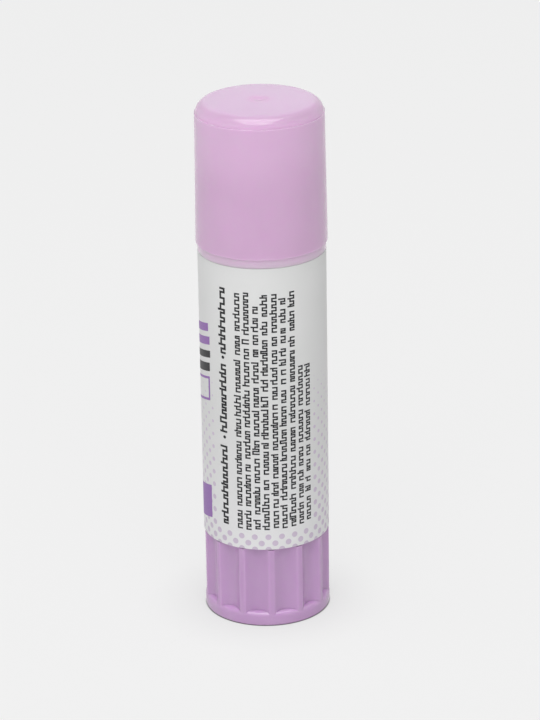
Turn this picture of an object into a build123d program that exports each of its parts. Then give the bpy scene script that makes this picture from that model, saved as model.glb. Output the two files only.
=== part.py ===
from build123d import *
import math
import os

# A twist-up glue stick, 15 g size, in millimetres.
# The stick stands on its twist knob: the origin is the centre of the foot, +Z runs up the stick,
# and -Y is the side that faces the viewer. The knob turns a left-hand lead screw, which lifts a
# threaded carrier with the glue in it. Ribs in the barrel stop the carrier from turning.

os.makedirs("parts", exist_ok=True)

# Barrel: a straight tube with a thinner neck that the cap slips over
barrel_radius = 11.1
body_length = 52.75
neck_length = 12.9
neck_step = 0.9
neck_wall = 1.1
neck_lip_rounding = 0.35
bore_lip_chamfer = 0.25
barrel_floor = 2.0
guide_rib_count = 4
guide_rib_width = 1.0
guide_rib_height = 0.6
guide_rib_setback = 2.0

# Tail skirt of the barrel, which the knob snaps onto
skirt_length = 5.0
skirt_wall = 1.0
bead_height = 0.22
bead_width = 0.9
bead_setback = 1.2

# Wrapped label
label_thickness = 0.08
label_gap = 0.02
label_margin = 0.1
label_seam = 0.4

# Twist knob
knob_height = 14.7
knob_wall = 0.95
foot_height = 2.3
foot_recess = 0.8
foot_ring_width = 2.0
foot_rounding = 0.35
shelf_rise = 0.7
shelf_rounding = 0.45
ridge_setback = 0.06
ridge_width = 1.25
ridge_rounding = 0.5
flute_count = 13
flute_depth = 1.16
flute_phase = -86.1
knob_plate = 1.4
knob_rib_count = 6
knob_rib_width = 0.9
hub_wall = 1.3

# Lead screw
screw_radius = 3.5
thread_depth = 0.9
thread_lead = 5.0
thread_length = 59.0
tip_chamfer = 0.8
collar_radius = 5.6
collar_height = 1.2
journal_radius = 3.2
shank_step = 0.15
shank_rounding = 0.4
shank_length = 8.5

# Share of one lead taken by the crest and by each sloping flank of the thread
crest_share = 0.24
flank_share = 0.1

# Carrier
carrier_floor = 1.6
carrier_height = 9.0
carrier_wall = 0.9
wiper_height = 1.4
wiper_relief = 0.15
nut_length = 5.5
nut_wall = 1.2
grip_fin_count = 6
grip_fin_width = 0.8
grip_fin_height = 4.0
overtravel = 0.5

# Glue
glue_recess = 1.0
glue_edge_rounding = 0.6
glue_core_spare = 0.4

# Cap
cap_band_height = 1.6
cap_band_step = 0.32
cap_body_height = 23.15
cap_taper = 0.32
cap_ledge = 0.36
cap_crown_height = 1.87
cap_crown_rounding = 1.75
cap_crown_rise = 0.25
cap_edge_rounding = 0.25
cap_wall = 1.1
cap_roof = 1.5
cap_inner_rounding = 1.2
cap_lead_in = 0.25
cap_bore_spare = 0.8
gate_radius = 1.7
gate_depth = 0.15
grip_rib_count = 8
grip_rib_width = 0.6
grip_rib_setback = 1.2

# Clearances, and one overrun for cuts and joins
running_gap = 0.15
bearing_clearance = 0.08
skirt_clearance = 0.08
thread_clearance = 0.12
piston_clearance = 0.1
glue_clearance = 0.15
glue_core_clearance = 0.25
cast_gap = 0.02
carrier_gap = 0.5
press_gap = 0.02
cap_clearance = 0.14
grip_clearance = 0.04
cap_seat_gap = 0.05
overrun = 0.3
match_tolerance = 0.001

# Radii that follow
neck_radius = barrel_radius - neck_step
bore_radius = neck_radius - neck_wall
label_radius = barrel_radius + label_gap + label_thickness
ridge_radius = label_radius - ridge_setback
valley_radius = ridge_radius - flute_depth
knob_bore_radius = valley_radius - knob_wall
skirt_radius = knob_bore_radius - skirt_clearance
hub_radius = journal_radius + hub_wall
hole_radius = journal_radius + bearing_clearance
screw_root_radius = screw_radius - thread_depth
nut_radius = screw_radius + thread_clearance + nut_wall
piston_radius = bore_radius - piston_clearance
cup_radius = piston_radius - carrier_wall
glue_radius = bore_radius - glue_clearance
glue_core_radius = screw_radius + glue_core_clearance
cap_inner_radius = neck_radius + cap_clearance
cap_foot_radius = label_radius + cap_band_step
cap_shoulder_radius = cap_foot_radius - cap_taper
cap_crown_radius = cap_shoulder_radius - cap_ledge

# Heights that follow, from the foot up
plate_low = foot_recess
plate_high = plate_low + knob_plate
foot_shoulder = foot_height + shelf_rise
barrel_low = knob_height + running_gap
floor_high = barrel_low + barrel_floor
skirt_low = barrel_low - skirt_length
bead_middle = skirt_low + bead_setback
shoulder_high = barrel_low + body_length
mouth_high = shoulder_high + neck_length
collar_low = floor_high + running_gap
collar_high = collar_low + collar_height
screw_high = collar_high + thread_length
shank_low = knob_height - shank_length
carrier_low = collar_high + carrier_gap
cup_floor_high = carrier_low + carrier_floor
nut_high = carrier_low + nut_length
carrier_high = carrier_low + carrier_height
glue_high = mouth_high - glue_recess
cap_low = shoulder_high + cap_seat_gap
cap_band_high = cap_low + cap_band_height
cap_ledge_height = cap_band_high + cap_body_height
cap_edge_height = cap_ledge_height + cap_crown_height
cap_top = cap_edge_height + cap_crown_rise
cap_ceiling = cap_edge_height - cap_roof

# How far the carrier climbs before its nut would leave the screw, and the turns that takes
travel = thread_length - carrier_gap - nut_length - overtravel
turns = travel / thread_lead


def turned(*points):
    """Solid of revolution about Z from (radius, height) points."""
    outline = Polyline(*[(radius, 0, height) for radius, height in points], close=True)
    return revolve(make_face(outline), Axis.Z)


def tube(outer, inner, low, high):
    """Plain ring between two radii and two heights."""
    return turned((inner, low), (outer, low), (outer, high), (inner, high))


def rod(radius, low, high):
    """Plain round bar on the Z axis."""
    return turned((0, low), (radius, low), (radius, high), (0, high))


def circle_edges(body, radius, height):
    """The full-circle edges of a body at one radius and height."""
    return [
        edge
        for edge in body.edges().filter_by(GeomType.CIRCLE)
        if abs(edge.radius - radius) < match_tolerance
        and abs(edge.arc_center.Z - height) < match_tolerance
    ]


def radial_bars(count, width, inner, outer, low, high, first_angle=0.0):
    """Bars that run outwards between two radii, evenly spaced round Z."""
    bar = Box(
        outer - inner,
        width,
        high - low,
        align=(Align.MIN, Align.CENTER, Align.MIN),
    )
    bar = Pos(inner, 0, low) * bar
    return [Rot(0, 0, first_angle + 360 * place / count) * bar for place in range(count)]


def thread_section(root, crest, crest_width_share):
    """Cross-section of a single-start thread: a full-width crest, two flanks and the root."""
    crest_angle = 180 * crest_width_share
    root_angle = crest_angle + 360 * flank_share

    def place(radius, angle):
        return (radius * math.cos(math.radians(angle)), radius * math.sin(math.radians(angle)))

    outline = [
        ThreePointArc(place(crest, -crest_angle), place(crest, 0), place(crest, crest_angle)),
        Line(place(crest, crest_angle), place(root, root_angle)),
        ThreePointArc(place(root, root_angle), place(root, 180), place(root, -root_angle)),
        Line(place(root, -root_angle), place(crest, -crest_angle)),
    ]
    return make_face(outline)


def threaded_rod(root, crest, crest_width_share, low, high):
    """Left-hand threaded bar: its section turns back one full circle over each lead.

    The turn is counted from height zero, so a screw and its nut are always in step.
    """
    phase = -360 * low / thread_lead
    section = Pos(0, 0, low) * Rot(0, 0, phase) * thread_section(root, crest, crest_width_share)
    twist = -360 * (high - low) / thread_lead
    return Solid.extrude_linear_with_rotation(
        section.face(),
        center=(0, 0, low),
        normal=(0, 0, high - low),
        angle=twist,
    )


# Barrel

def make_barrel():
    """Tube with neck, bored floor, guide ribs and the skirt that the knob turns on."""
    outside = turned(
        (0, barrel_low),
        (barrel_radius, barrel_low),
        (barrel_radius, shoulder_high),
        (neck_radius, shoulder_high),
        (neck_radius, mouth_high),
        (0, mouth_high),
    )
    outside = fillet(circle_edges(outside, neck_radius, mouth_high), neck_lip_rounding)
    bore = turned(
        (0, floor_high),
        (bore_radius, floor_high),
        (bore_radius, mouth_high - bore_lip_chamfer),
        (bore_radius + bore_lip_chamfer, mouth_high),
        (bore_radius + bore_lip_chamfer, mouth_high + overrun),
        (0, mouth_high + overrun),
    )
    skirt = turned(
        (skirt_radius - skirt_wall, skirt_low),
        (skirt_radius, skirt_low),
        (skirt_radius, bead_middle - bead_width / 2),
        (skirt_radius + bead_height, bead_middle),
        (skirt_radius, bead_middle + bead_width / 2),
        (skirt_radius, barrel_low + overrun),
        (skirt_radius - skirt_wall, barrel_low + overrun),
    )
    ribs = radial_bars(
        guide_rib_count,
        guide_rib_width,
        bore_radius - guide_rib_height,
        bore_radius + overrun,
        floor_high,
        mouth_high - guide_rib_setback,
    )
    hole = rod(hole_radius, barrel_low - overrun, floor_high + overrun)
    return (outside - bore) + skirt + ribs - hole


def make_label():
    """Thin film wrapped once round the body, its two edges just apart at the back."""
    film = tube(
        label_radius,
        barrel_radius + label_gap,
        barrel_low + label_margin,
        shoulder_high - label_margin,
    )
    seam = Box(label_seam, label_radius, body_length, align=(Align.CENTER, Align.MIN, Align.MIN))
    return film - Pos(0, overrun, barrel_low) * seam


# Twist knob

def flute_arc_radius():
    """Radius of a flute's hollow, which runs from ridge to ridge through the valley floor."""
    half_flute = math.pi / flute_count - math.asin(ridge_width / (2 * ridge_radius))
    half_chord = ridge_radius * math.sin(half_flute)
    depth = ridge_radius * math.cos(half_flute) - valley_radius
    return (half_chord ** 2 + depth ** 2) / (2 * depth)


def fluted_section():
    """Round section with a ring of hollow flutes and softened ridges between them."""
    flute_radius = flute_arc_radius()
    first_flute = flute_phase + 180 / flute_count
    flutes = PolarLocations(valley_radius + flute_radius, flute_count, start_angle=first_flute)
    section = Circle(ridge_radius) - flutes * Circle(flute_radius)
    return fillet(section.vertices(), ridge_rounding)


def make_knob_foot():
    """Foot ring under the flutes, its top a sloping shelf that closes each flute."""
    foot = turned(
        (0, 0),
        (label_radius, 0),
        (label_radius, foot_height),
        (valley_radius, foot_shoulder),
        (0, foot_shoulder),
    )
    foot = fillet(circle_edges(foot, label_radius, 0), foot_rounding)
    return fillet(circle_edges(foot, label_radius, foot_height), shelf_rounding)


def make_twist_knob():
    """Fluted cup with a hub that grips the screw, ribs round it and a groove for the bead."""
    grip = Pos(0, 0, foot_height) * extrude(fluted_section(), knob_height - foot_height)
    groove_radius = skirt_radius + bead_height + skirt_clearance
    groove_half = bead_width / 2 + running_gap
    cavity = turned(
        (0, plate_high),
        (knob_bore_radius, plate_high),
        (knob_bore_radius, bead_middle - groove_half),
        (groove_radius, bead_middle),
        (knob_bore_radius, bead_middle + groove_half),
        (knob_bore_radius, knob_height + overrun),
        (0, knob_height + overrun),
    )
    recess = rod(label_radius - foot_ring_width, -overrun, plate_low)
    hub = rod(hub_radius, plate_high - overrun, knob_height)
    ribs = radial_bars(
        knob_rib_count,
        knob_rib_width,
        hub_radius - overrun,
        knob_bore_radius + overrun,
        plate_high - overrun,
        skirt_low - running_gap,
    )
    socket_height = shank_length + running_gap
    socket = extrude(shank_section(press_gap), socket_height + overrun)
    socket = Pos(0, 0, shank_low - running_gap) * socket
    return grip + make_knob_foot() - cavity - recess + hub + ribs - socket


# Lead screw

def shank_section(extra=0.0):
    """Rounded square on the screw's lower end, grown all round to cut its socket."""
    side = math.sqrt(2) * (journal_radius - shank_step) + 2 * extra
    return RectangleRounded(side, side, shank_rounding)


def make_lead_screw():
    """Coarse left-hand screw with a thrust collar, a journal and a square shank."""
    thread = threaded_rod(
        screw_root_radius,
        screw_radius,
        crest_share,
        collar_high - overrun,
        screw_high,
    )
    envelope = turned(
        (0, collar_high - overrun),
        (screw_radius + overrun, collar_high - overrun),
        (screw_radius + overrun, screw_high - tip_chamfer - overrun),
        (screw_radius - tip_chamfer, screw_high),
        (0, screw_high),
    )
    collar = rod(collar_radius, collar_low, collar_high)
    journal = rod(journal_radius, knob_height, collar_low + overrun)
    shank = Pos(0, 0, shank_low) * extrude(shank_section(), shank_length)
    return (thread & envelope) + collar + journal + shank


# Carrier and glue

def fin_set(extra=0.0):
    """Upright fins on the carrier floor that key into the glue."""
    return radial_bars(
        grip_fin_count,
        grip_fin_width + 2 * extra,
        nut_radius - overrun,
        cup_radius + overrun,
        cup_floor_high - overrun,
        cup_floor_high + grip_fin_height + extra,
        first_angle=180 / grip_fin_count,
    )


def rib_slots(clearance, low, high):
    """Slots that pass over the barrel's guide ribs."""
    return radial_bars(
        guide_rib_count,
        guide_rib_width + 2 * clearance,
        bore_radius - guide_rib_height - clearance,
        bore_radius + overrun,
        low,
        high,
    )


def make_carrier():
    """Cup that holds the foot of the glue, with a threaded nut in its middle."""
    cup = turned(
        (0, carrier_low),
        (piston_radius, carrier_low),
        (piston_radius, carrier_low + wiper_height),
        (piston_radius - wiper_relief, carrier_low + wiper_height + wiper_relief),
        (piston_radius - wiper_relief, carrier_high - wiper_height - wiper_relief),
        (piston_radius, carrier_high - wiper_height),
        (piston_radius, carrier_high),
        (cup_radius, carrier_high),
        (cup_radius, cup_floor_high),
        (0, cup_floor_high),
    )
    nut = rod(nut_radius, carrier_low, nut_high)
    slots = rib_slots(piston_clearance, carrier_low - overrun, carrier_high + overrun)
    nut_thread = threaded_rod(
        screw_root_radius + thread_clearance,
        screw_radius + thread_clearance,
        crest_share + 2 * thread_clearance / thread_lead,
        carrier_low - overrun,
        nut_high + overrun,
    )
    return cup + nut + fin_set() - slots - nut_thread


def make_glue():
    """Glue cast into the carrier and round the screw, grooved by the guide ribs."""
    core_top = screw_high + glue_core_spare
    block = turned(
        (nut_radius + cast_gap, cup_floor_high + cast_gap),
        (cup_radius - cast_gap, cup_floor_high + cast_gap),
        (cup_radius - cast_gap, carrier_high + cast_gap),
        (glue_radius, carrier_high + cast_gap),
        (glue_radius, glue_high),
        (0, glue_high),
        (0, core_top),
        (glue_core_radius, core_top),
        (glue_core_radius, nut_high + cast_gap),
        (nut_radius + cast_gap, nut_high + cast_gap),
    )
    block = fillet(circle_edges(block, glue_radius, glue_high), glue_edge_rounding)
    slots = rib_slots(glue_clearance, carrier_low, glue_high + overrun)
    return block - slots - fin_set(cast_gap)


# Cap

def crown_arc():
    """Shallow arc over the top of the cap, from its edge to the centre."""
    arc_radius = (cap_crown_radius ** 2 + cap_crown_rise ** 2) / (2 * cap_crown_rise)
    half_way = cap_crown_radius / 2
    drop = arc_radius - math.sqrt(arc_radius ** 2 - half_way ** 2)
    return ThreePointArc(
        (cap_crown_radius, 0, cap_edge_height),
        (half_way, 0, cap_top - drop),
        (0, 0, cap_top),
    )


def make_cap_outside():
    """Outer form: a plain band, a slightly tapered wall, a ledge and a rounded crown."""
    sides = Polyline(
        (0, 0, cap_top),
        (0, 0, cap_low),
        (label_radius, 0, cap_low),
        (label_radius, 0, cap_band_high),
        (cap_foot_radius, 0, cap_band_high),
        (cap_shoulder_radius, 0, cap_ledge_height),
        (cap_crown_radius, 0, cap_ledge_height),
        (cap_crown_radius, 0, cap_edge_height),
    )
    body = revolve(make_face([*sides.edges(), crown_arc()]), Axis.Z)
    body = fillet(circle_edges(body, cap_foot_radius, cap_band_high), cap_edge_rounding)
    return fillet(circle_edges(body, cap_crown_radius, cap_edge_height), cap_crown_rounding)


def make_cap():
    """Push-on cap: hollow inside, with fine ribs that grip the neck and a gate mark on top."""
    bore_top = mouth_high + cap_bore_spare
    ceiling_radius = cap_crown_radius - cap_wall
    hollow = turned(
        (0, cap_low - overrun),
        (cap_inner_radius + cap_lead_in, cap_low - overrun),
        (cap_inner_radius + cap_lead_in, cap_low),
        (cap_inner_radius, cap_low + cap_lead_in),
        (cap_inner_radius, bore_top),
        (ceiling_radius, cap_ceiling),
        (0, cap_ceiling),
    )
    hollow = fillet(circle_edges(hollow, ceiling_radius, cap_ceiling), cap_inner_rounding)
    ribs = radial_bars(
        grip_rib_count,
        grip_rib_width,
        neck_radius + grip_clearance,
        cap_inner_radius + overrun,
        cap_low + grip_rib_setback,
        mouth_high,
    )
    gate_ball_radius = (gate_radius ** 2 + gate_depth ** 2) / (2 * gate_depth)
    gate = Pos(0, 0, cap_top - gate_depth + gate_ball_radius) * Sphere(gate_ball_radius)
    return make_cap_outside() - hollow + ribs - gate


pieces = {
    "cap": make_cap(),
    "barrel": make_barrel(),
    "label": make_label(),
    "twist_knob": make_twist_knob(),
    "lead_screw": make_lead_screw(),
    "carrier": make_carrier(),
    "glue_mass": make_glue(),
}

for name, shape in pieces.items():
    solids = shape.solids()
    export_step(solids[0] if len(solids) == 1 else Compound(solids), f"parts/{name}.step")
    print(name, len(solids), "solid,", round(shape.volume, 1), "mm3")

print("overall height", round(cap_top, 2), "widest", round(2 * cap_foot_radius, 2))
print("carrier travel", round(travel, 3), "mm in", round(turns, 4), "turns")
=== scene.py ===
# %% [markdown]
# This scene dresses a twist-up glue stick: a lilac push-on cap, a white tube under a printed label,
# and a fluted lilac knob that the stick stands on. The pieces that work inside, the screw and its
# carrier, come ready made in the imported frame. Everything is in metres, the foot of the knob sits
# at the origin, +Z runs up the stick and -Y faces the viewer.

# %% Load the frame
import math
import random

import bmesh
import bpy
from mathutils import Matrix, Vector


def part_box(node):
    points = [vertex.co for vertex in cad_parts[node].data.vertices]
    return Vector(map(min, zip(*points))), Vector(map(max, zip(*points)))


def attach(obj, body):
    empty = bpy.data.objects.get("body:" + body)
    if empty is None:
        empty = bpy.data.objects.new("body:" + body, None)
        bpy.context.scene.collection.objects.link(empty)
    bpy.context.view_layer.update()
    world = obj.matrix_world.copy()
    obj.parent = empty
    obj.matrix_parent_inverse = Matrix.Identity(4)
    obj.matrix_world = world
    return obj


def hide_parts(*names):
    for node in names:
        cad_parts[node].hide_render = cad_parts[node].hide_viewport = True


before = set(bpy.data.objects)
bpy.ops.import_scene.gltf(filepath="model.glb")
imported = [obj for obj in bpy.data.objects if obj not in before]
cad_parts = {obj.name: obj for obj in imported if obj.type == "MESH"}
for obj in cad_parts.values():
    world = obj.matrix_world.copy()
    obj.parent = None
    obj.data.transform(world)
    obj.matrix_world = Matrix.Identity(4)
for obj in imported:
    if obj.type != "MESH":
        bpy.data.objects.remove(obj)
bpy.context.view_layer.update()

# %% [markdown]
# Sizes come from the frame wherever a piece has to meet another one, so the look and the working
# model can't drift apart. They are read in millimetres, the unit of every shape below, and one
# factor turns them into the metres of the scene.

# %% Sizes read from the frame
mm = 0.001

label_low_corner, label_high_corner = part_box("label")
_, knob_high_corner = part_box("twist_knob")
barrel_low_corner, barrel_high_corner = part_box("barrel")
cap_low_corner, cap_high_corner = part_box("cap")
glue_low_corner, glue_high_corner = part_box("glue_mass")
carrier_low_corner, carrier_high_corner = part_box("carrier")
_, screw_high_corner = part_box("lead_screw")

label_outer = label_high_corner.x / mm
label_low = label_low_corner.z / mm
label_high = label_high_corner.z / mm
body_radius = barrel_high_corner.x / mm
skirt_low = barrel_low_corner.z / mm
mouth = barrel_high_corner.z / mm
cap_foot_radius = cap_high_corner.x / mm
cap_low = cap_low_corner.z / mm
cap_top = cap_high_corner.z / mm
knob_high = knob_high_corner.z / mm
print("label radius mm", round(label_outer, 3), "cap radius mm", round(cap_foot_radius, 3))

# %% [markdown]
# The camera stands where the photographer stood: above the stick and looking down at it by about
# 22 degrees, from far away with a long lens, so the sides of the tube look almost parallel. The
# photograph leans by a degree, and the camera leans with it.

# %% Camera
camera_pitch = math.radians(21.761)
camera_roll = math.radians(-0.963)
camera_distance = 575.5 * mm
camera_target = Vector((0, 0, 48 * mm))
camera_across = 1.10 * mm
camera_rise = -1.397 * mm
focal_length_in_pixels = 3274.0
image_height = 720
film_height = 36.0

forward = Vector((0, math.cos(camera_pitch), -math.sin(camera_pitch)))
right = Vector((1, 0, 0))
up = right.cross(forward)
leaning_right = math.cos(camera_roll) * right + math.sin(camera_roll) * up
leaning_up = math.cos(camera_roll) * up - math.sin(camera_roll) * right

camera = bpy.data.objects.new("camera", bpy.data.cameras.new("camera"))
bpy.context.scene.collection.objects.link(camera)
camera.data.sensor_width = film_height
camera.data.lens = focal_length_in_pixels / image_height * film_height
axes = Matrix((leaning_right, leaning_up, -forward)).transposed().to_4x4()
place = camera_target - camera_distance * forward + camera_across * right + camera_rise * up
camera.matrix_world = Matrix.Translation(place) @ axes
camera.data.clip_start = 10 * mm
bpy.context.scene.camera = camera
print("camera at", [round(value, 4) for value in place], "lens mm", round(camera.data.lens, 1))

# %% [markdown]
# The world and the materials are made of nodes, and a few small helpers keep them readable. They
# take numbers and the outputs of other nodes alike. The last one tells rays apart: light that
# bounces about the room, rays from the camera, and rays that a shiny surface mirrored.

# %% Node helpers
def feed(tree, socket, value):
    """Set a socket to a constant, or link the output of another node to it."""
    if isinstance(value, bpy.types.NodeSocket):
        tree.links.new(value, socket)
    else:
        socket.default_value = value


def math_node(tree, operation, *values):
    """A math node fed by numbers or by other nodes; returns its output."""
    node = tree.nodes.new("ShaderNodeMath")
    node.operation = operation
    for socket, value in zip(node.inputs, values):
        feed(tree, socket, value)
    return node.outputs[0]


def soft_step(tree, value, low, high):
    """0 below one value and 1 above the other, smooth between."""
    node = tree.nodes.new("ShaderNodeMapRange")
    node.interpolation_type = "SMOOTHSTEP"
    tree.links.new(value, node.inputs["Value"])
    node.inputs["From Min"].default_value = low
    node.inputs["From Max"].default_value = high
    return node.outputs["Result"]


def ray_kinds(tree):
    """Whether a ray was mirrored, and whether the camera or a mirror sees it; each is 0 or 1."""
    rays = tree.nodes.new("ShaderNodeLightPath")
    mirrored = math_node(tree, "MAXIMUM", rays.outputs["Is Glossy Ray"],
                         rays.outputs["Is Transmission Ray"])
    return mirrored, math_node(tree, "MAXIMUM", rays.outputs["Is Camera Ray"], mirrored)

# %% [markdown]
# The light is a small studio. A large rectangular softbox hangs overhead and a little in front of
# the stick and gives most of the light. A wide soft light from the front evens out the tube.
# Neither lamp is mirrored by the stick: the world holds what its shiny surfaces see.

# %% Lights
watts_per_square_metre = 4


def hang_softbox(name, place, across, deep, level):
    """A lamp that faces straight down; level 1 is as bright as lit white paper."""
    lamp = bpy.data.lights.new(name, "AREA")
    lamp.shape = "RECTANGLE"
    lamp.size = across
    lamp.size_y = deep
    lamp.energy = watts_per_square_metre * level * across * deep
    holder = bpy.data.objects.new(name, lamp)
    holder.matrix_world = Matrix.Translation(place)
    holder.visible_camera = False
    holder.visible_glossy = False
    bpy.context.scene.collection.objects.link(holder)


def add_wide_key(name, towards_lamp, width_degrees, level):
    """A far round lamp, a given number of degrees wide; level is its brightness as above."""
    lamp = bpy.data.lights.new(name, "SUN")
    lamp.energy = level * math.pi * math.sin(math.radians(width_degrees / 2)) ** 2
    lamp.angle = math.radians(width_degrees)
    holder = bpy.data.objects.new(name, lamp)
    aim = (-Vector(towards_lamp)).to_track_quat("-Z", "Y")
    holder.matrix_world = aim.to_matrix().to_4x4()
    holder.visible_glossy = False
    bpy.context.scene.collection.objects.link(holder)


hang_softbox("overhead_softbox", (-0.08, -0.67, 1.65), across=1.7, deep=2.0, level=1.95)
add_wide_key("front_key", (-0.05, -0.87, 0.5), width_degrees=60, level=1.1)
bpy.context.scene.view_settings.view_transform = "Standard"
print("lights:", [item.name for item in bpy.data.lights])

# %% [markdown]
# The walls of the room do the rest of the lighting. They are brighter on the left than on the
# right, so the tube turns darker towards its right edge. The backdrop is what the camera and
# shiny surfaces see of the room. Shiny surfaces also see the bright face of the softbox, which
# the rounded edges of the cap and the knob mirror as short crisp streaks. It is painted on the
# world as a rectangle overhead, where it costs no noise.

# %% World
backdrop_white = 0.865
room_level = 0.1
left_wall_level = 0.165
back_wall_level = 0.33
face_level = 6.0
face_middle = (-0.05, -0.43)
face_half_size = (0.465, 0.56)
face_blur = 0.03
above_horizon = (0.1, 0.15)
wall_blend = (-0.2, 0.9)

world = bpy.data.worlds.new("studio")
bpy.context.scene.world = world
world.use_nodes = True
sky = world.node_tree
looking = sky.nodes.new("ShaderNodeTexCoord")
direction = sky.nodes.new("ShaderNodeSeparateXYZ")
sky.links.new(looking.outputs["Generated"], direction.inputs[0])
leftwards = math_node(sky, "MULTIPLY", direction.outputs["X"], -1.0)
towards_left = soft_step(sky, leftwards, *wall_blend)
towards_back = soft_step(sky, direction.outputs["Y"], *wall_blend)
room = math_node(sky, "MULTIPLY_ADD", towards_left, left_wall_level, room_level)
room = math_node(sky, "MULTIPLY_ADD", towards_back, back_wall_level, room)
shiny, shown = ray_kinds(sky)

on_face = soft_step(sky, direction.outputs["Z"], *above_horizon)
for axis, middle, half in zip(("X", "Y"), face_middle, face_half_size):
    slope = math_node(sky, "DIVIDE", direction.outputs[axis], direction.outputs["Z"])
    off = math_node(sky, "ABSOLUTE", math_node(sky, "SUBTRACT", slope, middle))
    outside = soft_step(sky, off, half - face_blur, half + face_blur)
    on_face = math_node(sky, "MULTIPLY", on_face, math_node(sky, "SUBTRACT", 1.0, outside))
face = math_node(sky, "MULTIPLY", on_face, shiny)
backdrop = math_node(sky, "MULTIPLY_ADD", face, face_level - backdrop_white, backdrop_white)

strength = sky.nodes.new("ShaderNodeMix")
for socket_name, value in (("Factor", shown), ("A", room), ("B", backdrop)):
    feed(sky, strength.inputs[socket_name], value)
sky.links.new(strength.outputs["Result"], sky.nodes["Background"].inputs["Strength"])
sky.nodes["Background"].inputs["Color"].default_value = (1, 1, 1, 1)
print("room from", room_level, "to", room_level + left_wall_level + back_wall_level)

# %% [markdown]
# Materials need some more helpers. Colours are written as they would be picked in a paint program
# and turned into the linear values that the renderer works in. Patterns are fixed to the piece,
# so they move with it.

# %% Material helpers
def linear(red, green, blue):
    """A screen colour, 0 to 255, as the linear colour that the renderer works in."""
    def convert(value):
        value /= 255
        return value / 12.92 if value <= 0.04045 else ((value + 0.055) / 1.055) ** 2.4
    return (convert(red), convert(green), convert(blue), 1)


def start_material(name):
    """A new node material, its tree and its main shader."""
    material = bpy.data.materials.new(name)
    material.use_nodes = True
    return material, material.node_tree, material.node_tree.nodes["Principled BSDF"]


def mix_colour(tree, share, first, second, blend="MIX"):
    """Blend of two colours by a share from 0 to 1."""
    node = tree.nodes.new("ShaderNodeMix")
    node.data_type = "RGBA"
    node.blend_type = blend
    for socket_name, value in (("Factor", share), ("A", first), ("B", second)):
        feed(tree, node.inputs[socket_name], value)
    return node.outputs["Result"]


def noise(tree, scale, detail=2.0):
    """A noise pattern fixed to the piece; scale is counted per metre."""
    where = tree.nodes.new("ShaderNodeTexCoord")
    node = tree.nodes.new("ShaderNodeTexNoise")
    node.inputs["Scale"].default_value = scale
    node.inputs["Detail"].default_value = detail
    tree.links.new(where.outputs["Object"], node.inputs["Vector"])
    return node.outputs["Fac"]


def patches(tree, scale):
    """Soft-edged patches of 0 and 1, from a noise pattern."""
    return soft_step(tree, noise(tree, scale), 0.3, 0.7)


def point_on_piece(tree):
    """The X, Y and Z of each point of the piece, in metres."""
    where = tree.nodes.new("ShaderNodeTexCoord")
    split = tree.nodes.new("ShaderNodeSeparateXYZ")
    tree.links.new(where.outputs["Object"], split.inputs[0])
    return split.outputs


def add_bump(tree, shader, height, distance):
    """Bump from a height pattern on a shader; distance is how deep the pattern is."""
    node = tree.nodes.new("ShaderNodeBump")
    node.inputs["Distance"].default_value = distance
    node.inputs["Strength"].default_value = 1.0
    tree.links.new(height, node.inputs["Height"])
    tree.links.new(node.outputs["Normal"], shader.inputs["Normal"])

# %% [markdown]
# Moulded plastic is never one flat colour. The colour drifts a little where the melt flowed, the
# shine differs from place to place, and the steel mould leaves a faint grain. One function makes
# all the plastics of the stick. Each has some depth, the cap and the glue the most, because light
# sinks into them and comes out softened.

# %% Moulded plastics
flow_scale = 90.0
flow_shade = 0.97
shine_scale = 420.0
shine_low, shine_high = 0.85, 1.15
grain_scale = 5200.0
plastic_ior = 1.49


def moulded_plastic(name, paint, roughness, grain, depth, depth_colour=(1, 1, 1), mirror=0.5):
    """Satin plastic; paint is a colour or a function of the node tree, depth is in metres."""
    material, tree, shader = start_material(name)
    colour = paint(tree) if callable(paint) else paint
    darker = (flow_shade, flow_shade, flow_shade, 1)
    drift = mix_colour(tree, patches(tree, flow_scale), darker, (1, 1, 1, 1))
    tree.links.new(mix_colour(tree, 1.0, colour, drift, "MULTIPLY"), shader.inputs["Base Color"])
    shine = tree.nodes.new("ShaderNodeMapRange")
    tree.links.new(noise(tree, shine_scale, detail=3.0), shine.inputs["Value"])
    shine.inputs["To Min"].default_value = roughness * shine_low
    shine.inputs["To Max"].default_value = roughness * shine_high
    tree.links.new(shine.outputs["Result"], shader.inputs["Roughness"])
    shader.inputs["IOR"].default_value = plastic_ior
    shader.inputs["Specular IOR Level"].default_value = mirror
    shader.inputs["Subsurface Weight"].default_value = 1.0
    shader.inputs["Subsurface Radius"].default_value = depth_colour
    shader.inputs["Subsurface Scale"].default_value = depth
    add_bump(tree, shader, noise(tree, grain_scale, detail=1.0), grain)
    return material


knob_plastic = moulded_plastic(
    "knob_plastic", linear(202, 167, 207), 0.07, 0.0004 * mm,
    depth=0.9 * mm, depth_colour=(1.0, 0.75, 1.0), mirror=0.4)
white_plastic = moulded_plastic(
    "white_plastic", linear(236, 237, 236), 0.4, 0.004 * mm, depth=0.3 * mm)
glue_wax = moulded_plastic(
    "glue_wax", linear(244, 241, 232), 0.5, 0.02 * mm, depth=1.6 * mm)
print("plastics:", knob_plastic.name, white_plastic.name, glue_wax.name)

# %% [markdown]
# The cap is thin and lets some light through, and its colour is painted with light and shade for
# that. Low down, where the neck of the tube fills it, it is painted deepest, as painted shade of
# the neck behind the wall. Above the mouth of the tube it is painted paler, as painted light that
# comes through the empty cap. The band at its mouth is painted paler too, as painted light through
# its thin lip. The thick rounding of the crown and the fine ledge below it get painted shade, and
# the dome of the crown its own painted light. A gate mark, where the plastic was injected, is left
# in the middle of the crown as a slightly pinker disc.
# All of this goes by height and by distance from the axis, so the material works it out from the
# place of each point. Each pair of heights is where one colour starts to turn and has turned.

# %% Cap plastic
band_high = cap_low + 1.6
ledge_height = cap_top - 2.12
crown_start = cap_top - 2.1

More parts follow.
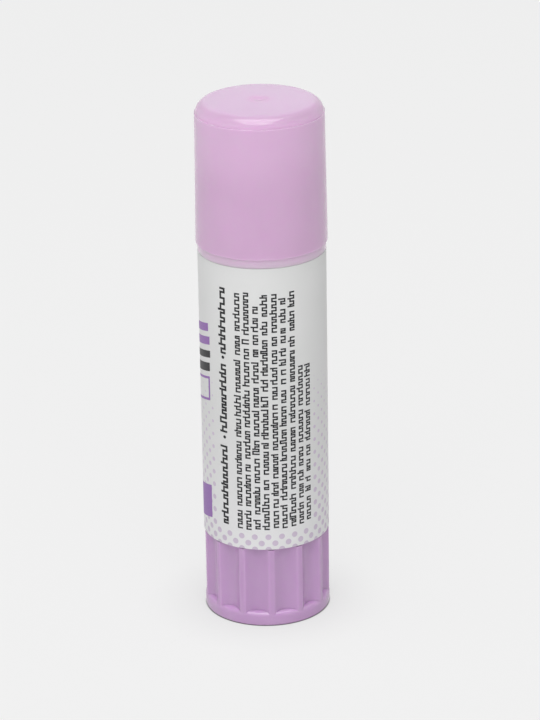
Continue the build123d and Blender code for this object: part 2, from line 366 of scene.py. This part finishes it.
band_ends = (band_high - 0.05, band_high + 0.05)
neck_ends = (mouth - 1.5, mouth + 9.0)
rounding_starts = (crown_start + 0.2, crown_start + 1.4)
crown_starts = (crown_start + 1.6, crown_start + 2.0)
gate_starts = (crown_start + 0.8, crown_start + 1.2)
ledge_edge = (0.02, 0.05)
gate_edge = (1.1, 2.9)

# painted light and shade: paler at the band and over the empty top, deeper over the neck, darker at
# the ledge and the crown's rounding, paler on the dome
band_painted_light = linear(231, 203, 228)
cap_painted_neck_shade = linear(222, 185, 219)
cap_painted_light = linear(229, 193, 226)
ledge_painted_shade = linear(212, 175, 208)
rounding_painted_shade = linear(213, 179, 210)
crown_painted_light = linear(221, 190, 221)
gate_colour = linear(223, 183, 219)


def cap_paint(tree):
    """Colour of the cap by height, painted with light and shade, and the gate mark at the middle of
    its top.
    """
    point = point_on_piece(tree)
    height = math_node(tree, "DIVIDE", point["Z"], mm)
    squares = [math_node(tree, "MULTIPLY", point[axis], point[axis]) for axis in ("X", "Y")]
    from_axis = math_node(tree, "DIVIDE", math_node(
        tree, "SQRT", math_node(tree, "ADD", *squares)), mm)

    colour = band_painted_light
    # the colour turns by height through painted light and shade
    for turning, next_colour in (
            (band_ends, cap_painted_neck_shade), (neck_ends, cap_painted_light),
            (rounding_starts, rounding_painted_shade)):
        colour = mix_colour(tree, soft_step(tree, height, *turning), colour, next_colour)
    # a narrow line of painted shade along the ledge
    off_ledge = math_node(tree, "ABSOLUTE", math_node(tree, "SUBTRACT", height, ledge_height))
    colour = mix_colour(tree, soft_step(tree, off_ledge, *ledge_edge), ledge_painted_shade, colour)
    colour = mix_colour(tree, soft_step(tree, height, *crown_starts), colour, crown_painted_light)
    near_gate = math_node(tree, "SUBTRACT", 1.0, soft_step(tree, from_axis, *gate_edge))
    on_top = soft_step(tree, height, *gate_starts)
    return mix_colour(tree, math_node(tree, "MULTIPLY", near_gate, on_top), colour, gate_colour)


cap_plastic = moulded_plastic(
    "cap_plastic", cap_paint, 0.06, 0.0004 * mm, depth=1.2 * mm, depth_colour=(1.0, 0.72, 0.95),
    mirror=0.4)
print("cap turns paler above", round(mouth, 1), "mm")

# %% [markdown]
# Most pieces of the stick are bodies of revolution. Each is a closed outline in millimetres,
# a list of (radius, height, rounding) corners. The corners are rounded with the bevel operator
# while the outline is still flat, and the spin operator then turns it round the stick's axis.

# %% Helpers for turned pieces
turn_steps = 144
merge_reach = 1e-7
shortest_edge = 1e-8


def rounded_outline(corners, segments=5):
    """A bmesh holding one closed flat outline in the XZ plane, its corners rounded."""
    bm = bmesh.new()
    verts = [bm.verts.new((radius * mm, 0, height * mm)) for radius, height, _ in corners]
    bm.faces.new(verts)
    for vert, (_, _, rounding) in zip(verts, corners):
        if rounding:
            bmesh.ops.bevel(
                bm, geom=[vert], offset=rounding * mm, offset_type="OFFSET",
                affect="VERTICES", segments=segments, profile=0.5, material=-1)
    bmesh.ops.delete(bm, geom=bm.faces[:], context="FACES_ONLY")
    return bm


def turn(corners, segments=5):
    """Spin a rounded outline right round Z into a closed skin."""
    bm = rounded_outline(corners, segments)
    on_axis = [edge for edge in bm.edges if all(abs(v.co.x) < merge_reach for v in edge.verts)]
    bmesh.ops.delete(bm, geom=on_axis, context="EDGES")
    bmesh.ops.spin(
        bm, geom=bm.verts[:] + bm.edges[:], cent=(0, 0, 0), axis=(0, 0, 1), dvec=(0, 0, 0),
        angle=2 * math.pi, steps=turn_steps, use_merge=True, use_duplicate=False)
    return bm


def finish_mesh(bm):
    """Merge doubles and turn every face outwards."""
    bmesh.ops.remove_doubles(bm, verts=bm.verts[:], dist=merge_reach)
    bmesh.ops.dissolve_degenerate(bm, edges=bm.edges[:], dist=shortest_edge)
    bmesh.ops.recalc_face_normals(bm, faces=bm.faces[:])


def add_piece(name, bm, body, material, sharp=40.0, replaces=None):
    """Make the mesh an object of the scene that rides on a body of the frame."""
    finish_mesh(bm)
    for face in bm.faces:
        face.smooth = True
    for edge in bm.edges:
        edge.smooth = edge.calc_face_angle(0.0) < math.radians(sharp)
    mesh = bpy.data.meshes.new(name)
    bm.to_mesh(mesh)
    bm.free()
    mesh.materials.append(material)
    piece = bpy.data.objects.new(name, mesh)
    bpy.context.scene.collection.objects.link(piece)
    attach(piece, body)
    if replaces:
        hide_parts(replaces)
    print(name, len(mesh.vertices), "vertices,", len(mesh.polygons), "faces")


def add_bars(bm, count, width, inner, outer, low, high):
    """Upright bars that run outwards between two radii, added to a mesh; sizes in millimetres."""
    for place_number in range(count):
        angle = 2 * math.pi * place_number / count
        size = Matrix.Diagonal(((outer - inner) * mm, width * mm, (high - low) * mm, 1))
        middle_of_bar = ((outer + inner) / 2 * mm, 0, (high + low) / 2 * mm)
        matrix = Matrix.Rotation(angle, 4, "Z") @ Matrix.Translation(middle_of_bar) @ size
        bmesh.ops.create_cube(bm, size=1.0, matrix=matrix)

# %% [markdown]
# The barrel is a white polypropylene tube. A thinner neck stands up inside the cap, a skirt at
# the tail reaches down into the knob, and four ribs in the bore keep the glue carrier from
# turning. Only its neck and its lower edge ever show, but the whole of it is here, because the
# cap can come off and the glue can be wound up. A bead round the skirt snaps into the knob.

# %% Barrel
shoulder_height = label_high + 0.14
body_low = label_low - 0.1
neck_radius = body_radius - 0.9
bore_radius = neck_radius - 1.1
floor_height = body_low + 2.0
skirt_radius = 8.95
skirt_bore = skirt_radius - 1.0
bead_middle = skirt_low + 1.2
bead_half_height = 0.45
bead_reach = 0.2
hole_radius = 3.28
rib_count = 4
rib_width = 1.0
rib_reach = 0.6
rib_top = mouth - 2.0
rib_root = 0.3

barrel_mesh = turn([
    (hole_radius, body_low, 0.1),
    (skirt_bore, body_low, 0.1),
    (skirt_bore, skirt_low, 0.15),
    (skirt_radius, skirt_low, 0.3),
    (skirt_radius, bead_middle - bead_half_height, 0),
    (skirt_radius + bead_reach, bead_middle, 0.1),
    (skirt_radius, bead_middle + bead_half_height, 0),
    (skirt_radius, body_low, 0.1),
    (body_radius, body_low, 0.12),
    (body_radius, shoulder_height, 0.1),
    (neck_radius, shoulder_height, 0.1),
    (neck_radius, mouth, 0.35),
    (bore_radius, mouth, 0.25),
    (bore_radius, floor_height, 0.2),
    (hole_radius, floor_height, 0.1),
])
finish_mesh(barrel_mesh)
add_bars(barrel_mesh, rib_count, rib_width, bore_radius - rib_reach, bore_radius + rib_root,
         floor_height, rib_top)
add_piece("barrel_tube", barrel_mesh, "barrel", white_plastic, replaces="barrel")

# %% [markdown]
# The cap is a thin shell. Its mouth has a plain band flush with the label. The wall above stands
# a little proud and leans in towards the top, where a hair-thin ledge runs round. The crown is a
# flat dome with a dimple in the middle where the plastic was injected. Inside, eight fine ribs
# grip the neck.

# %% Cap
shoulder_radius = cap_foot_radius - 0.32
ledge_width = 0.12
crown_radius = shoulder_radius - 0.4
crown_rise = 0.25
crown_edge_height = cap_top - crown_rise
ceiling_height = crown_edge_height - 1.5
ceiling_radius = crown_radius - 1.1
cap_bore_radius = neck_radius + 0.14
mouth_flare = 0.25
grip_count = 8
grip_width = 0.6
grip_low = cap_low + 1.2
gate_radius = 1.7
gate_depth = 0.2


def crown_height(radius):
    """Height of the crown's shallow dome over a radius, with the gate dimple at its middle."""
    height = cap_top - crown_rise * (radius / crown_radius) ** 2
    if radius < gate_radius:
        height -= gate_depth * (1 - (radius / gate_radius) ** 2) ** 2
    return height


crown_steps = [8.2, 7.0, 5.5, 4.0, 2.8, 2.0, 1.7, 1.45, 1.15, 0.85, 0.5]
cap_mesh = turn([
    (cap_bore_radius + mouth_flare, cap_low, 0.06),
    (label_outer, cap_low, 0.05),
    (label_outer, band_high, 0.08),
    (cap_foot_radius, band_high, 0.12),
    (shoulder_radius, ledge_height, 0.04),
    (shoulder_radius - ledge_width, ledge_height, 0.04),
    (crown_radius, crown_edge_height, 1.75),
    *[(radius, crown_height(radius), 0) for radius in crown_steps],
    (0, crown_height(0), 0),
    (0, ceiling_height, 0),
    (ceiling_radius, ceiling_height, 1.2),
    (cap_bore_radius, mouth + 0.8, 0.3),
    (cap_bore_radius, cap_low + mouth_flare, 0.06),
], segments=7)
finish_mesh(cap_mesh)
add_bars(cap_mesh, grip_count, grip_width, neck_radius + 0.05, cap_bore_radius + rib_root,
         grip_low, mouth)
add_piece("cap_shell", cap_mesh, "cap", cap_plastic, replaces="cap")

# %% [markdown]
# The knob and the glue aren't quite round, so spinning an outline won't do. They are grown
# instead: a circle of vertices is laid down, its edges are extruded again and again, and each new
# ring is moved to its own height and radius. A small function bends each ring, which makes the
# flutes of the knob and the grooves in the glue.

# %% Growing a skin from rings
def grow_rings(levels, count, place_at):
    """Closed skin over rings of vertices; place_at(angle, level) gives each vertex's place."""
    bm = bmesh.new()
    bmesh.ops.create_circle(bm, segments=count, radius=1.0)
    ring_edges = bm.edges[:]
    angles = {vert: math.atan2(vert.co.y, vert.co.x) for vert in bm.verts}
    for number, level in enumerate(levels):
        if number:
            grown = bmesh.ops.extrude_edge_only(bm, edges=ring_edges)["geom"]
            new_verts = {item for item in grown if isinstance(item, bmesh.types.BMVert)}
            below = {vert: edge.other_vert(vert) for vert in new_verts for edge in vert.link_edges
                     if edge.other_vert(vert) in angles}
            angles = {vert: angles[below[vert]] for vert in new_verts}
            ring_edges = [item for item in grown if isinstance(item, bmesh.types.BMEdge)
                          and all(vert in angles for vert in item.verts)]
        for vert, angle in angles.items():
            radius, height = place_at(angle, level)
            vert.co = (radius * mm * math.cos(angle), radius * mm * math.sin(angle), height * mm)
    return bm

# %% [markdown]
# The knob is what the fingers turn. Thirteen wide hollow flutes leave rounded ridges between
# them. Each flute ends above the foot in a shelf that rolls over into the foot's side, so it
# catches the light as a small crescent, and the ridges run smoothly out into the foot. One ridge
# stands almost straight in front of the viewer.

# %% Flutes and shelves
flute_count = 13
points_per_flute = 26
ridge_angle = math.radians(-86.1)
foot_radius = label_outer
ridge_radius = foot_radius - 0.06
valley_radius = ridge_radius - 1.16
flute_arc = 2.45
ridge_softness = 0.95
shelf_low = 1.45
shelf_rise = 1.1
shelf_power = 3.0
shelf_settle = 12


def fluted_radius(angle):
    """Radius of the knob's grip at an angle: hollow flutes, with the ridges softly rounded."""
    pitch = 2 * math.pi / flute_count
    turn_from_ridge = (angle - ridge_angle) % pitch
    from_valley = abs(turn_from_ridge - pitch / 2)
    centre = valley_radius + flute_arc
    reach = min(centre * math.sin(from_valley), flute_arc)
    hollow = centre * math.cos(from_valley) - math.sqrt(flute_arc ** 2 - reach ** 2)
    blend = max(ridge_softness - abs(hollow - ridge_radius), 0) / ridge_softness
    return min(hollow, ridge_radius) - blend ** 2 * ridge_softness / 4


def shelf_height(radius):
    """Height of the shelf over a radius: flat by the flute, then rolling over to the foot."""
    share = (radius - valley_radius) / (foot_radius - valley_radius)
    share = min(max(share, 0.0), 1.0)
    return shelf_low + shelf_rise * (1 - share ** shelf_power) ** (1 / shelf_power)


print("knob radius mm from", round(valley_radius, 2), "to", round(fluted_radius(ridge_angle), 2))

# %% [markdown]
# The rings of the knob start in its cup. They run from the hub out over the cup's floor, up over
# the rim, down the fluted wall, out over the shelves and round the foot into the recess below.
# The hub grips the foot of the screw, and six thin webs stiffen the cup.

# %% Twist knob
hub_radius = 4.5
cup_floor = 2.2
cup_radius = 9.03
recess_radius = 9.2
recess_height = 0.8
web_count = 6
web_width = 0.9


def knob_place(angle, level):
    """Radius and height of a knob vertex; a level is a kind of ring and a share along it."""
    kind, share = level
    wall = fluted_radius(angle)
    if kind == "wall":
        low = shelf_height(wall)
        return wall, low + (knob_high - low) * share
    if kind == "shelf":
        radius = wall + (foot_radius - wall) * math.sin(share * math.pi / 2)
        height = shelf_height(radius)
        return radius, height + (shelf_low - height) * share ** shelf_settle
    return share


cup_rings = [
    (0, knob_high), (hub_radius, knob_high), (hub_radius, cup_floor),
    (cup_radius - 0.43, cup_floor), (cup_radius, cup_floor + 0.4),
    (cup_radius, knob_high - 0.1), (cup_radius + 0.1, knob_high),
]
wall_shares = (1.0, 0.985, 0.9, 0.7, 0.5, 0.3, 0.15, 0.07, 0.03, 0.01, 0.0)
shelf_shares = (0.02, 0.15, 0.28, 0.4, 0.5, 0.6, 0.68, 0.76, 0.84, 0.91, 0.96, 1.0)
foot_rings = [
    (foot_radius, 1.0), (foot_radius, 0.35), (foot_radius - 0.05, 0.17),
    (foot_radius - 0.17, 0.05), (foot_radius - 0.35, 0.0),
    (recess_radius + 0.15, 0.0), (recess_radius, 0.12), (recess_radius, recess_height - 0.15),
    (recess_radius - 0.15, recess_height), (0, recess_height),
]
knob_levels = [("plain", ring) for ring in cup_rings]
knob_levels += [("wall", share) for share in wall_shares]
knob_levels += [("shelf", share) for share in shelf_shares]
knob_levels += [("plain", ring) for ring in foot_rings]

knob_mesh = grow_rings(knob_levels, flute_count * points_per_flute, knob_place)
finish_mesh(knob_mesh)
add_bars(knob_mesh, web_count, web_width, hub_radius - 0.1, cup_radius + 0.07, cup_floor - 0.1,
         skirt_low - 0.15)
add_piece("twist_knob_grip", knob_mesh, "knob", knob_plastic, sharp=50.0,
          replaces="twist_knob")

# %% [markdown]
# The glue is a waxy off-white stick. The ribs of the barrel leave four grooves down its sides,
# its top edge is softly rounded, and its top sinks a little in the middle where it shrank as it
# cooled. It is hollow round the screw, like the real one.

# %% Glue
groove_width = 1.35
groove_radius = bore_radius - 0.78
glue_radius = bore_radius - 0.16
glue_top = glue_high_corner.z / mm
glue_low = glue_low_corner.z / mm + 0.02
cup_top = carrier_high_corner.z / mm + 0.03
nut_height = 5.5
nut_top = carrier_low_corner.z / mm + nut_height + 0.05
core_top = screw_high_corner.z / mm + 0.4
core_radius = 3.75
nut_radius = 4.85
plug_radius = 8.05
glue_points = 240


def glue_place(angle, level):
    """Radius and height of a glue vertex, drawn in where a rib of the barrel runs."""
    radius, height = level
    pitch = 2 * math.pi / rib_count
    offset = abs((angle + pitch / 2) % pitch - pitch / 2) * glue_radius
    if offset < groove_width / 2:
        radius = min(radius, groove_radius)
    return radius, height


glue_levels = [
    (0, core_top), (core_radius, core_top), (core_radius, nut_top), (nut_radius, nut_top),
    (nut_radius, glue_low), (plug_radius, glue_low), (plug_radius, cup_top),
    (glue_radius, cup_top), (glue_radius, cup_top + 1.0),
    (glue_radius, glue_top - 4.0), (glue_radius, glue_top - 0.75),
    (glue_radius - 0.06, glue_top - 0.45), (glue_radius - 0.22, glue_top - 0.2),
    (glue_radius - 0.47, glue_top - 0.05), (glue_radius - 0.8, glue_top),
    (glue_radius - 1.6, glue_top - 0.03), (glue_radius - 3.0, glue_top - 0.16),
    (glue_radius - 5.0, glue_top - 0.32), (glue_radius - 7.0, glue_top - 0.4),
    (0, glue_top - 0.42),
]
glue_mesh = grow_rings(glue_levels, glue_points, glue_place)
add_piece("glue_stick_core", glue_mesh, "carrier", glue_wax, sharp=50.0,
          replaces="glue_mass")

# %% [markdown]
# The screw and the carrier keep the exact shapes of the working model, since a screw and its nut
# have to match. They only trade their plain colours for moulded plastic: the screw a firm white,
# the carrier a little warmer and duller, as the softer plastic of such cups is.

# %% Screw and carrier
screw_plastic = moulded_plastic(
    "screw_plastic", linear(238, 238, 234), 0.33, 0.004 * mm, depth=0.3 * mm)
carrier_plastic = moulded_plastic(
    "carrier_plastic", linear(233, 232, 227), 0.45, 0.006 * mm, depth=0.5 * mm)
for node_name, plastic in (("lead_screw", screw_plastic), ("carrier", carrier_plastic)):
    for material_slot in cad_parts[node_name].material_slots:
        material_slot.material = plastic
    print(node_name, [item.material.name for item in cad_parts[node_name].material_slots])

# %% [markdown]
# The label is white film with printed dots. They are a halftone: rows of round dots set half a
# step apart, largest at the lower edge and fading out higher up, with a clear field behind the
# fine print. The dots are worked out by the material from the angle and height of each point.

# %% Halftone
dot_pitch_degrees = 12.35
dot_pitch = 2.41
dot_first_angle = 1.55
dot_first_height = 17.37
dot_largest = 0.55
dot_edge = 0.04
dot_fading = 0.5
dots_end_height = 47.0
clear_field_angles = (-50.8, 47.7)
clear_field_low = 18.0
degrees_blur = 0.5
height_blur = 0.1


def halftone(tree):
    """Share of dot ink, 0 or 1, from the angle and height of a point on the label."""
    point = point_on_piece(tree)
    backwards = math_node(tree, "MULTIPLY", point["Y"], -1.0)
    angle = math_node(tree, "ARCTAN2", point["X"], backwards)
    degrees = math_node(tree, "MULTIPLY", angle, 180 / math.pi)
    height = math_node(tree, "DIVIDE", point["Z"], mm)

    def distance_to_row(shift):
        """Distance in millimetres to the nearest dot centre of one of the two staggered sets."""
        along = math_node(tree, "DIVIDE", math_node(tree, "SUBTRACT", degrees, dot_first_angle),
                          dot_pitch_degrees)
        above = math_node(tree, "DIVIDE", math_node(tree, "SUBTRACT", height, dot_first_height),
                          dot_pitch)
        parts = []
        for value in (along, above):
            moved = math_node(tree, "ADD", value, shift)
            nearest = math_node(tree, "ROUND", moved)
            off = math_node(tree, "SUBTRACT", moved, nearest)
            parts.append(math_node(tree, "MULTIPLY", off, off))
        total = math_node(tree, "ADD", *parts)
        return math_node(tree, "MULTIPLY", math_node(tree, "SQRT", total), dot_pitch)

    nearest = math_node(tree, "MINIMUM", distance_to_row(0.0), distance_to_row(0.5))
    fade = tree.nodes.new("ShaderNodeMapRange")
    tree.links.new(height, fade.inputs["Value"])
    fade.inputs["From Min"].default_value = label_low
    fade.inputs["From Max"].default_value = dots_end_height
    fade.inputs["To Min"].default_value = 1.0
    fade.inputs["To Max"].default_value = 0.0
    fuller = math_node(tree, "POWER", fade.outputs["Result"], dot_fading)
    dot_radius = math_node(tree, "MULTIPLY", fuller, dot_largest)
    inside = math_node(tree, "SUBTRACT", dot_radius, nearest)
    ink = soft_step(tree, inside, -dot_edge, dot_edge)

    past_left, past_right = [soft_step(tree, degrees, side, side + degrees_blur)
                             for side in clear_field_angles]
    above_rows = soft_step(tree, height, clear_field_low, clear_field_low + height_blur)
    across_field = math_node(tree, "SUBTRACT", past_left, past_right)
    cleared = math_node(tree, "MULTIPLY", across_field, above_rows)
    return math_node(tree, "MULTIPLY", ink, math_node(tree, "SUBTRACT", 1.0, cleared))

# %% [markdown]
# The film is satin, not glossy, and no film lies perfectly flat, so a very slight ripple runs
# through it. It is painted whitest at its foot, as painted light thrown up by the paper that the
# stick stands on.

# %% Label film
label_white = linear(225, 225, 225)
label_shade = linear(222, 223, 222)
label_foot_painted_light = linear(236, 236, 237)
dot_lilac = linear(211, 197, 216)
foot_glow_height = 24
paper_patch_scale = 60.0
ripple_scale = 160.0

label_film, film_tree, film_shader = start_material("label_film")
paper = mix_colour(film_tree, patches(film_tree, paper_patch_scale), label_shade, label_white)
# painted light: the film turns whiter towards its foot
upwards = soft_step(film_tree, point_on_piece(film_tree)["Z"],
                    label_low * mm, (label_low + foot_glow_height) * mm)
paper = mix_colour(film_tree, upwards, label_foot_painted_light, paper)
film_tree.links.new(mix_colour(film_tree, halftone(film_tree), paper, dot_lilac),
                    film_shader.inputs["Base Color"])
film_shader.inputs["Roughness"].default_value = 0.42
film_shader.inputs["IOR"].default_value = 1.48
add_bump(film_tree, film_shader, noise(film_tree, ripple_scale, detail=1.0), 0.02 * mm)
print("label film has", len(film_tree.nodes), "nodes")

# %% [markdown]
# The label is wrapped once round the barrel, and its two edges nearly meet in a fine seam down
# the back. The spin operator bends the upright edge of the film round the tube, stopping just
# short of a full turn, and the two ends of the film are then closed.

# %% Label
film_thickness = 0.08
film_rounding = 0.02
film_top = label_high + 0.13
seam_angle = 0.3 / label_outer
label_steps = 180

label_mesh = rounded_outline([
    (label_outer - film_thickness, label_low, 0),
    (label_outer, label_low, film_rounding),
    (label_outer, film_top, film_rounding),
    (label_outer - film_thickness, film_top, 0),
], segments=2)
bmesh.ops.rotate(label_mesh, verts=label_mesh.verts[:], cent=(0, 0, 0),
                 matrix=Matrix.Rotation(math.pi / 2 + seam_angle / 2, 3, "Z"))
bmesh.ops.spin(label_mesh, geom=label_mesh.verts[:] + label_mesh.edges[:], cent=(0, 0, 0),
               axis=(0, 0, 1), dvec=(0, 0, 0), angle=2 * math.pi - seam_angle,
               steps=label_steps, use_merge=False, use_duplicate=False)
open_edges = [edge for edge in label_mesh.edges if len(edge.link_faces) == 1]
bmesh.ops.holes_fill(label_mesh, edges=open_edges, sides=0)
add_piece("label_wrap", label_mesh, "barrel", label_film, replaces="label")

# %% [markdown]
# The print on the label is real ink: thin raised strokes bent round the tube, so they stay sharp
# at any size. Wide strokes are cut into strips, or they would sink into the curve. The ink itself
# is matt, and a little uneven in its cover.

# %% Ink helpers
ink_height = 0.018
ink_sink = 0.02
speckle_scale = 3000.0


def on_label(across, height, lift):
    """Place of a point printed on the label; across is millimetres round it from the front."""
    angle = across / label_outer
    radius = (label_outer + lift) * mm
    return Vector((radius * math.sin(angle), -radius * math.cos(angle), height * mm))


def lay_ink(bm, across, height, width, length, lean=0.0, strips=1):
    """One stroke of ink: a flat sheet pulled up into a slab and bent onto the label."""
    sheet = bmesh.ops.create_grid(bm, x_segments=strips, y_segments=1, size=0.5)["verts"]
    faces = {face for vert in sheet for face in vert.link_faces}
    pulled = bmesh.ops.extrude_face_region(bm, geom=list(faces))["geom"]
    top = [item for item in pulled if isinstance(item, bmesh.types.BMVert)]
    for layer, lift in ((sheet, -ink_sink), (top, ink_height)):
        for vert in layer:
            along = across + vert.co.x * width
            rise = height + vert.co.y * length + lean * vert.co.x * width
            vert.co = on_label(along, rise, lift)


def ink_material(name, first, second):
    """Matt printing ink, a little uneven in its cover."""
    material, tree, shader = start_material(name)
    speckle = patches(tree, speckle_scale)
    tree.links.new(mix_colour(tree, speckle, first, second), shader.inputs["Base Color"])
    shader.inputs["Roughness"].default_value = 0.5
    return material


ink_charcoal = ink_material("ink_charcoal", linear(24, 24, 28), linear(17, 17, 21))
ink_purple = ink_material("ink_purple", linear(152, 110, 180), linear(147, 104, 175))
print("inks:", ink_charcoal.name, ink_purple.name)

# %% [markdown]
# The fine print is lines of small square waves, the marks a designer uses for dummy text. They
# have the weight and the spacing of print, but spell nothing. Each group of waves stands for a
# word, and its length is drawn from a seeded random source, so the label comes out the same each
# time. The lines drift round the tube by a hair as they rise, as on a label that was wrapped not
# quite straight.

# %% Words and lines
chance = random.Random(7)
degree_mm = label_outer * math.pi / 180
line_drift = 0.0045
drift_middle = 40.0
step_spread = (0.65, 1.45)
wave_heights = (1.0, 1.0, 1.0, 1.0, 1.0, 1.38)
steps_in_word = (2, 13)
word_gap = (1.3, 1.8)
shortest_last_word = 4


def print_wave(bm, baseline, start, end, size, stroke, step):
    """A word of square waves between two heights: uprights joined at top and bottom in turn."""
    edges = [start]
    while edges[-1] < end - step:
        edges.append(edges[-1] + step * chance.uniform(*step_spread))
    tall = [size * chance.choice(wave_heights) for _ in edges]
    for number, (height, length) in enumerate(zip(edges, tall)):
        across = baseline + line_drift * (height - drift_middle)
        lay_ink(bm, across - length / 2, height, length, stroke, strips=3)
        if number + 1 < len(edges):
            spacing = edges[number + 1] - height
            top = stroke / 2 - min(length, tall[number + 1])
            side = -stroke / 2 if number % 2 else top
            lay_ink(bm, across + side, height + spacing / 2, stroke, spacing)


def print_line(bm, baseline, low, high, size, stroke, step):
    """A line of words with gaps between them."""
    height = low
    while height < high - 2 * step:
        word_end = min(height + step * chance.randint(*steps_in_word), high)
        if high - word_end < shortest_last_word * step:
            word_end = high
        print_wave(bm, baseline, height, word_end, size, stroke, step)
        height = word_end + step * chance.uniform(*word_gap)

# %% [markdown]
# There are nine lines of fine print and one bold line beside them, in three groups. Each line has
# an angle round the tube from the front, in degrees, and the heights where it starts and ends.

# %% Dummy text
line_baselines = [-21.4, -13.1, -4.8, 3.4, 11.9, 19.9, 28.5, 36.7, 45.0]
line_starts = [18.9, 18.8, 19.0, 18.9, 19.2, 19.0, 19.1, 19.2, 19.6]
line_ends = [63.2, 63.4, 61.1, 63.2, 63.0, 62.4, 63.4, 48.9, 49.2]
fine_print = {"size": 0.95, "stroke": 0.27, "step": 0.52}
bold_print = {"size": 1.15, "stroke": 0.38, "step": 0.78}

text_mesh = bmesh.new()
for line_angle, line_low, line_high in zip(line_baselines, line_starts, line_ends):
    print_line(text_mesh, line_angle * degree_mm, line_low, line_high, **fine_print)

heading_baseline = -35.9 * degree_mm
heading_words = [(19.2, 34.6), (36.7, 49.6), (51.5, 63.7)]
for word_low, word_high in heading_words:
    print_wave(text_mesh, heading_baseline, word_low, word_high, **bold_print)
add_piece("dummy_text", text_mesh, "barrel", ink_charcoal)

# %% [markdown]
# A round bullet stands between the groups of the bold line. It starts as a thin disc and is bent
# round the tube like the rest.

# %% Bullets
bullet_radius = 0.3
bullet_heights = [35.65, 50.65]
bullet_across = heading_baseline - 0.6


def lay_disc(bm, across, height, radius):
    """A round spot of ink, a short cylinder bent onto the label."""
    disc = bmesh.ops.create_cone(
        bm, cap_ends=True, segments=20, radius1=1.0, radius2=1.0, depth=1.0)
    for vert in disc["verts"]:
        lift = ink_height if vert.co.z > 0 else -ink_sink
        vert.co = on_label(across + vert.co.x * radius, height + vert.co.y * radius, lift)


bullet_mesh = bmesh.new()
for bullet_height in bullet_heights:
    lay_disc(bullet_mesh, bullet_across, bullet_height, bullet_radius)
add_piece("heading_bullets", bullet_mesh, "barrel", ink_charcoal)

# %% [markdown]
# The side of the label carries bold colour: plain leaning bars, solid ones in purple and charcoal
# and one in outline. Each is given as its left and right side in degrees, and the two heights of
# its right side.

# %% Leaning bars
bar_lean = 0.24
strip_degrees = 3.0
frame_line = 0.45
purple_bars = [
    (-150.0, -58.7, 18.99, 25.23), (-122.0, -58.5, 54.4, 55.9),
    (-126.0, -56.5, 52.0, 53.5), (-160.0, -128.0, 56.0, 57.2),
]
charcoal_bars = [
    (-134.0, -56.0, 49.6, 50.9), (-130.0, -57.0, 47.0, 48.6), (-128.0, -116.0, 40.0, 44.0),
]
purple_frame = (-110.0, -57.5, 41.5, 46.0)


def lay_bar(bm, left_degrees, right_degrees, low, high):
    """A leaning bar of ink between two angles; low and high are its ends at its right edge."""
    width = (right_degrees - left_degrees) * degree_mm
    across = (left_degrees + right_degrees) / 2 * degree_mm
    middle = (low + high) / 2 - bar_lean * width / 2
    strips = max(int((right_degrees - left_degrees) / strip_degrees), 1)
    lay_ink(bm, across, middle, width, high - low, lean=bar_lean, strips=strips)


def lay_frame(bm, left_degrees, right_degrees, low, high, line):
    """The outline of a leaning bar, four strokes of ink."""
    drop = bar_lean * (right_degrees - left_degrees - line / degree_mm) * degree_mm
    lay_bar(bm, left_degrees, right_degrees, low, low + line)
    lay_bar(bm, left_degrees, right_degrees, high - line, high)
    lay_bar(bm, right_degrees - line / degree_mm, right_degrees, low, high)
    lay_bar(bm, left_degrees, left_degrees + line / degree_mm, low - drop, high - drop)


purple_mesh = bmesh.new()
charcoal_mesh = bmesh.new()
for bar in purple_bars:
    lay_bar(purple_mesh, *bar)
lay_frame(purple_mesh, *purple_frame, frame_line)
for bar in charcoal_bars:
    lay_bar(charcoal_mesh, *bar)

add_piece("purple_bars", purple_mesh, "barrel", ink_purple)
add_piece("charcoal_bars", charcoal_mesh, "barrel", ink_charcoal)

# %% [markdown]
# The stage is a wide white floor, so wide that no view sees its edge near the stick.

# %% Floor
floor_reach = 3.0
floor_mesh = bmesh.new()
bmesh.ops.create_grid(floor_mesh, x_segments=1, y_segments=1, size=floor_reach)
floor_data = bpy.data.meshes.new("floor")
floor_mesh.to_mesh(floor_data)
floor_mesh.free()
floor = bpy.data.objects.new("floor", floor_data)
bpy.context.scene.collection.objects.link(floor)
print("floor metres across", 2 * floor_reach)

# %% [markdown]
# For the light that it throws back onto the stick the floor is plain white paper. The camera, and
# anything shiny, sees it as a paper sweep that is lit mostly by itself, so it comes out as the
# even pale grey of the photograph's backdrop and the stick's soft shadow stays faint. That glow
# is held back close to the stick, and most in the narrow gap under the rounded edge of its foot,
# which leaves the fine dark line where the knob meets the paper.

# %% Floor paint
paper_white = (0.8, 0.8, 0.8, 1)
paper_seen = (0.13, 0.13, 0.13, 1)
paper_glow = 0.748
near_reach = 12 * mm
near_shade = 0.25
contact_reach = 0.25 * mm
contact_power = 1.8

floor_paint, floor_tree, floor_shader = start_material("floor_paint")
_, seen = ray_kinds(floor_tree)
floor_tree.links.new(mix_colour(floor_tree, seen, paper_white, paper_seen),
                     floor_shader.inputs["Base Color"])
floor_shader.inputs["Emission Color"].default_value = (1, 1, 1, 1)


def openness(reach):
    """How open the floor is to the room within a reach in metres: 1 in the open, 0 in a gap."""
    node = floor_tree.nodes.new("ShaderNodeAmbientOcclusion")
    node.inputs["Distance"].default_value = reach
    return node.outputs["AO"]


# painted shadow: the floor's glow dimmed within a short reach of the stick
shade = math_node(floor_tree, "MULTIPLY_ADD", openness(near_reach), near_shade, 1 - near_shade)
# painted contact shadow: the glow dimmed most in the gap under the knob's foot
contact = math_node(floor_tree, "POWER", openness(contact_reach), contact_power)
glow = math_node(floor_tree, "MULTIPLY", math_node(floor_tree, "MULTIPLY", shade, contact), seen)
floor_tree.links.new(math_node(floor_tree, "MULTIPLY", glow, paper_glow),
                     floor_shader.inputs["Emission Strength"])
floor_shader.inputs["Roughness"].default_value = 1.0
floor_shader.inputs["Specular IOR Level"].default_value = 0.0
floor_data.materials.append(floor_paint)
print("floor glow", paper_glow, "held back within mm", near_reach / mm)
